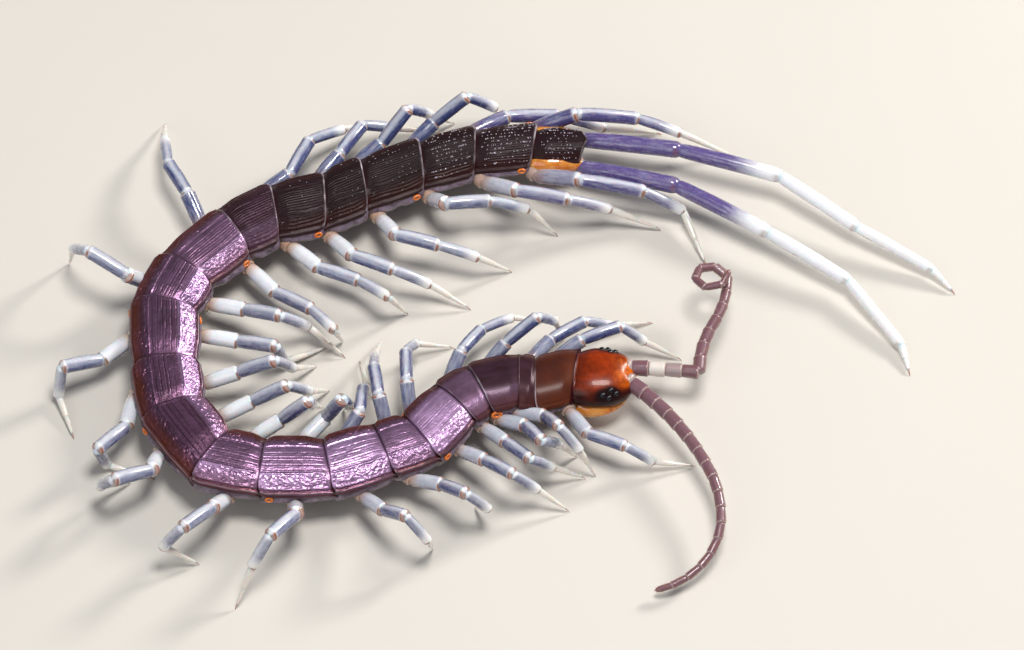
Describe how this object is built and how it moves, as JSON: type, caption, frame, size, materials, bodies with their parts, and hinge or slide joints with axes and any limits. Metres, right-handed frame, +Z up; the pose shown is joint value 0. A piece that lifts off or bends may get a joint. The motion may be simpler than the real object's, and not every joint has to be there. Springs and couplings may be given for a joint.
{
  "type": "giant centipede",
  "caption": "Life-size still model of a scolopendrid centipede, its plated body curled in an open bend with all legs, feelers and long trailing last legs on the floor.",
  "frame": {"origin": "on the floor, at the middle of the outline seen from above", "axes": "+Z up; +X the way the head looks and the last legs trail, the longest way; +Y from the front bend of the body to the rear stretch"},
  "size_m": [0.0477, 0.032, 0.0045],
  "materials": {
    "head_shell": "glossy amber-brown chitin",
    "brown_shell": "glossy dark brown chitin",
    "violet_shell": "glossy violet chitin",
    "leg": "clear glossy cuticle over blue-violet",
    "claw": "glossy amber chitin",
    "antenna": "fine velvety hairs on brown",
    "eye": "glossy black"
  },
  "bodies": {
    "root": {"head": "head_shell", "trunk_1_2": "brown_shell", "trunk_3_4": "brown_shell", "trunk_5_6": "violet_shell", "trunk_7_8": "violet_shell", "trunk_9_10": "violet_shell", "trunk_11_12": "violet_shell", "trunk_13_14": "violet_shell", "trunk_15_16": "brown_shell", "trunk_17_18": "brown_shell", "trunk_19_20": "brown_shell", "trunk_21": "brown_shell", "antenna_left": "antenna", "poison_claw_left": "claw", "eyes_left": "eye", "leg_left_1": "leg", "leg_left_2": "leg", "leg_left_3": "leg", "leg_left_4": "leg", "leg_left_5": "leg", "leg_left_6": "leg", "leg_left_7": "leg", "leg_left_8": "leg", "leg_left_9": "leg", "leg_left_10": "leg", "leg_left_11": "leg", "leg_left_12": "leg", "leg_left_13": "leg", "leg_left_14": "leg", "leg_left_15": "leg", "leg_left_16": "leg", "leg_left_17": "leg", "leg_left_18": "leg", "leg_left_19": "leg", "leg_left_20": "leg", "leg_left_21": "leg", "antenna_right": "antenna", "poison_claw_right": "claw", "eyes_right": "eye", "leg_right_1": "leg", "leg_right_2": "leg", "leg_right_3": "leg", "leg_right_4": "leg", "leg_right_5": "leg", "leg_right_6": "leg", "leg_right_7": "leg", "leg_right_8": "leg", "leg_right_9": "leg", "leg_right_10": "leg", "leg_right_11": "leg", "leg_right_12": "leg", "leg_right_13": "leg", "leg_right_14": "leg", "leg_right_15": "leg", "leg_right_16": "leg", "leg_right_17": "leg", "leg_right_18": "leg", "leg_right_19": "leg", "leg_right_20": "leg", "leg_right_21": "leg"}
  },
  "joints": []
}
